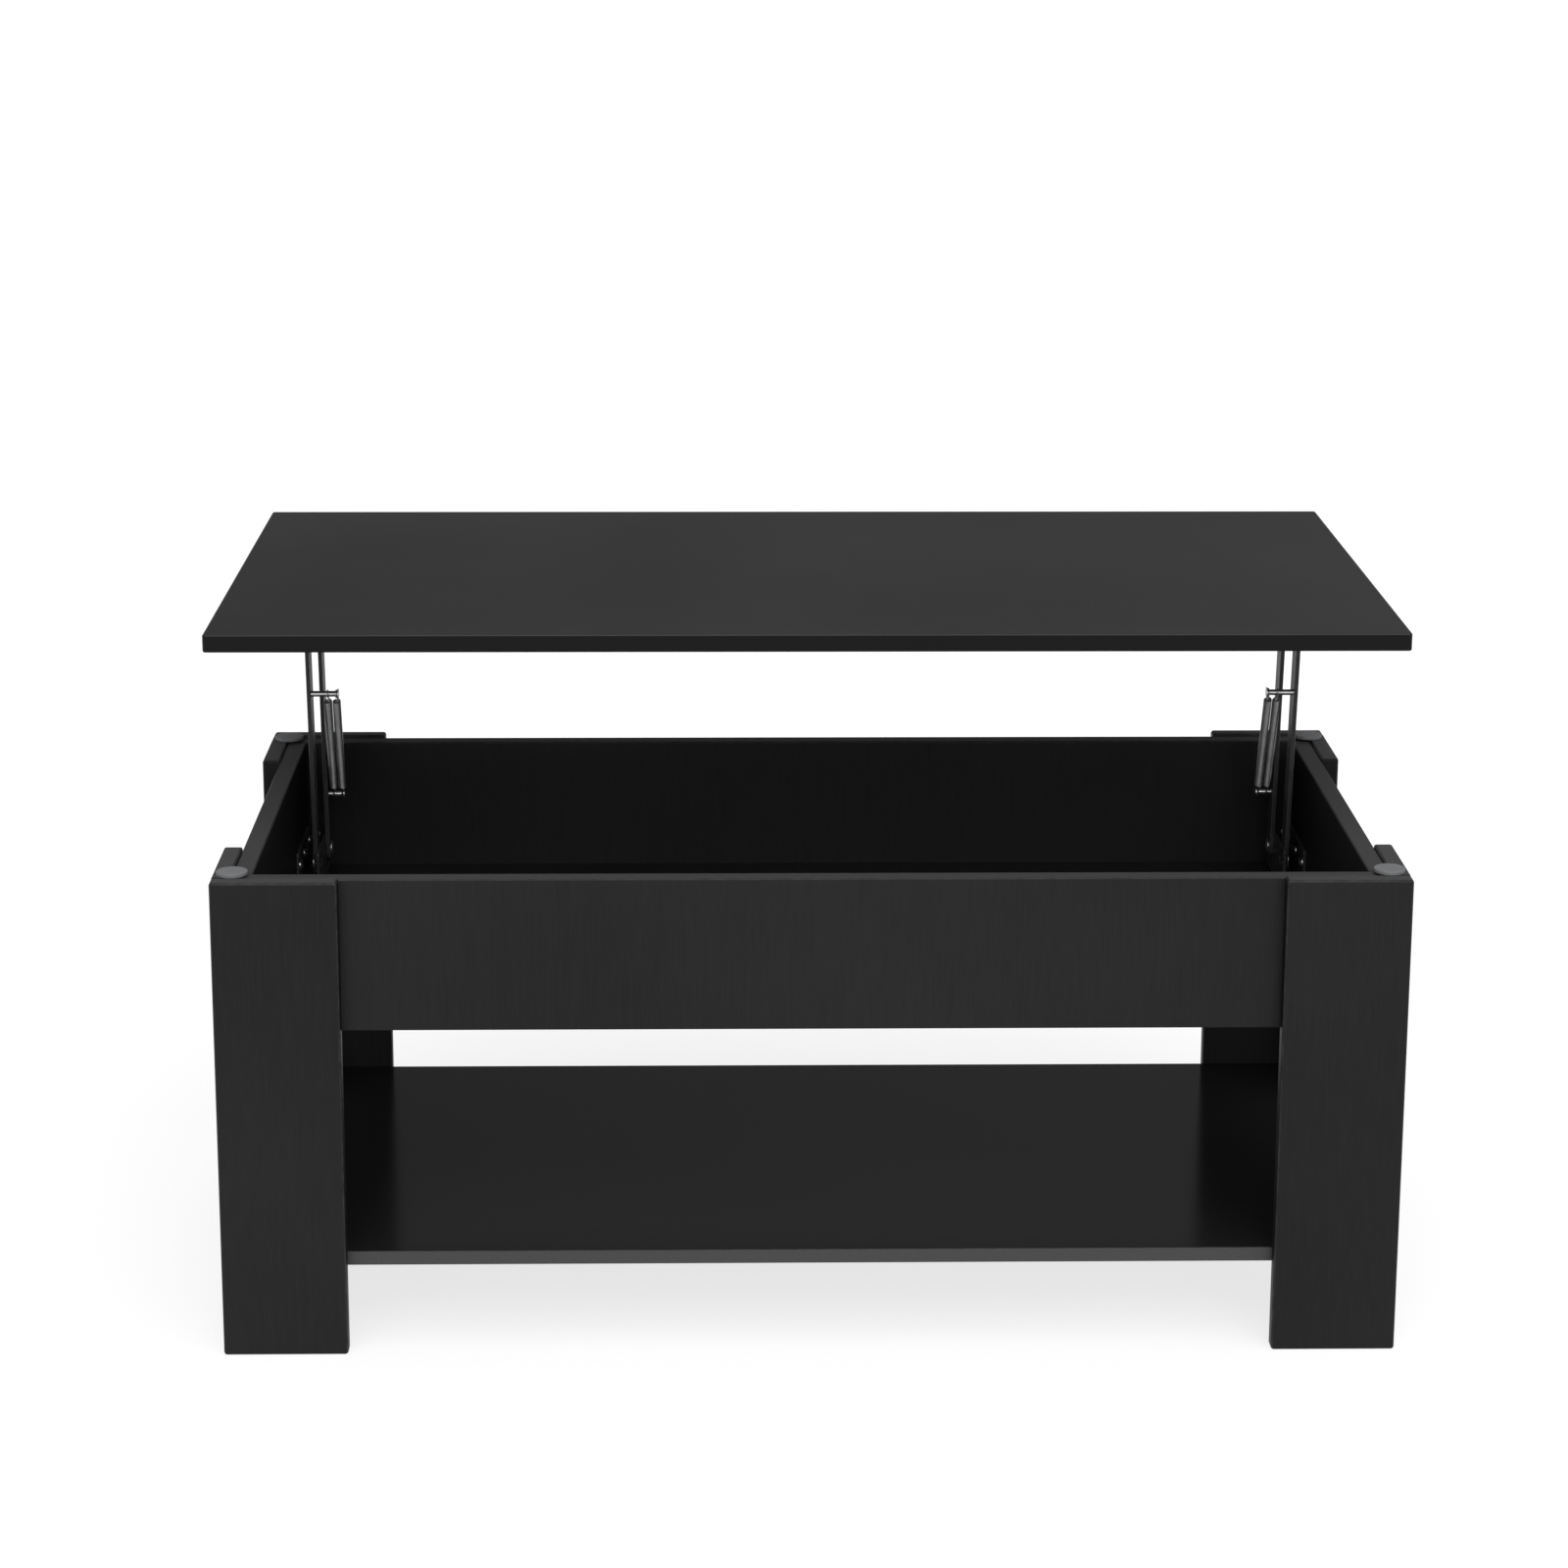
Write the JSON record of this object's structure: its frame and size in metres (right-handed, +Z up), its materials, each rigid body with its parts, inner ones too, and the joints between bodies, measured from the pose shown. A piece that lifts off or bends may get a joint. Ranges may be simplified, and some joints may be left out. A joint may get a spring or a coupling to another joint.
{
  "type": "lift top coffee table",
  "caption": "Black coffee table with corner legs, open shelf and storage box; the lid lifts up and outwards on sprung parallelogram arms",
  "frame": {"origin": "on the floor, under the middle of the box that holds the table with its lid raised", "axes": "+X to the right along the table, +Y towards the side that the raised lid moves to, +Z up"},
  "size_m": [0.985, 0.6514, 0.5601],
  "materials": {
    "board_satin_black": "satin black laminate on board, fine grain",
    "lid_black": "smooth satin to semi-gloss black laminate on board",
    "shelf_black": "smooth semi-gloss black laminate on board",
    "pad_rubber": "matt dark grey soft pad",
    "painted_steel": "satin black paint on pressed steel",
    "spring_steel": "dark oiled spring wire",
    "zinc_steel": "bright zinc plate"
  },
  "bodies": {
    "base": {"apron_back": "board_satin_black", "apron_front": "board_satin_black", "base_bracket_left": "painted_steel", "base_bracket_right": "painted_steel", "box_floor": "shelf_black", "bracket_screws_left": "zinc_steel", "bracket_screws_right": "zinc_steel", "leg_face_back_left": "board_satin_black", "leg_face_back_right": "board_satin_black", "leg_face_front_left": "board_satin_black", "leg_face_front_right": "board_satin_black", "leg_side_back_left": "board_satin_black", "leg_side_back_right": "board_satin_black", "leg_side_front_left": "board_satin_black", "leg_side_front_right": "board_satin_black", "lid_pads": "pad_rubber", "lower_front_pivots": "zinc_steel", "lower_rear_pivots": "zinc_steel", "shelf": "shelf_black", "side_panel_left": "board_satin_black", "side_panel_right": "board_satin_black", "stop_pegs": "zinc_steel"},
    "front_arms": {"front_arm_left": "painted_steel", "front_arm_right": "painted_steel", "spring_pins_high": "zinc_steel"},
    "rear_arms": {"rear_arm_left": "painted_steel", "rear_arm_right": "painted_steel", "spring_pins_low": "zinc_steel"},
    "lid": {"lid": "lid_black", "lid_bracket_left": "painted_steel", "lid_bracket_right": "painted_steel", "lid_screws_left": "zinc_steel", "lid_screws_right": "zinc_steel", "upper_front_pivots": "zinc_steel", "upper_rear_pivots": "zinc_steel"},
    "spring_upper": {"spring_hooks_high": "spring_steel", "spring_coils": "spring_steel"},
    "spring_lower": {"spring_hooks_low": "spring_steel"}
  },
  "joints": [
    {"name": "lift", "type": "hinge", "parent": "base", "child": "front_arms", "pos_m": [0, 0.02527, 0.307], "axis": [1, 0, 0], "range_deg": [0, 65.15], "stiffness_Nm_per_rad": 4.6, "springref_deg": -28.65},
    {"name": "rear_arm_turn", "type": "hinge", "parent": "base", "child": "rear_arms", "pos_m": [0, 0.07027, 0.307], "axis": [1, 0, 0], "range_deg": [-0.1, 65.25]},
    {"name": "lid_turn", "type": "hinge", "parent": "front_arms", "child": "lid", "pos_m": [0, -0.00229, 0.51357], "axis": [1, 0, 0], "range_deg": [-65.25, 0.1]},
    {"name": "spring_swing", "type": "hinge", "parent": "front_arms", "child": "spring_upper", "pos_m": [0, -0.00316, 0.46715], "axis": [1, 0, 0], "range_deg": [-16.5, 0.1]},
    {"name": "spring_stretch", "type": "slide", "parent": "spring_upper", "child": "spring_lower", "axis": [0, 0.5236, -0.852], "range_m": [-0.0001, 0.02751], "deforming": ["spring_coils", "spring_hooks_low"]}
  ],
  "couplings": [
    {"joint": "rear_arm_turn", "follows": "lift", "ratio": 1},
    {"joint": "lid_turn", "follows": "lift", "ratio": -1},
    {"joint": "spring_swing", "follows": "lift", "ratio": -0.25177},
    {"joint": "spring_stretch", "follows": "lift", "m_per_rad": 0.024109}
  ]
}
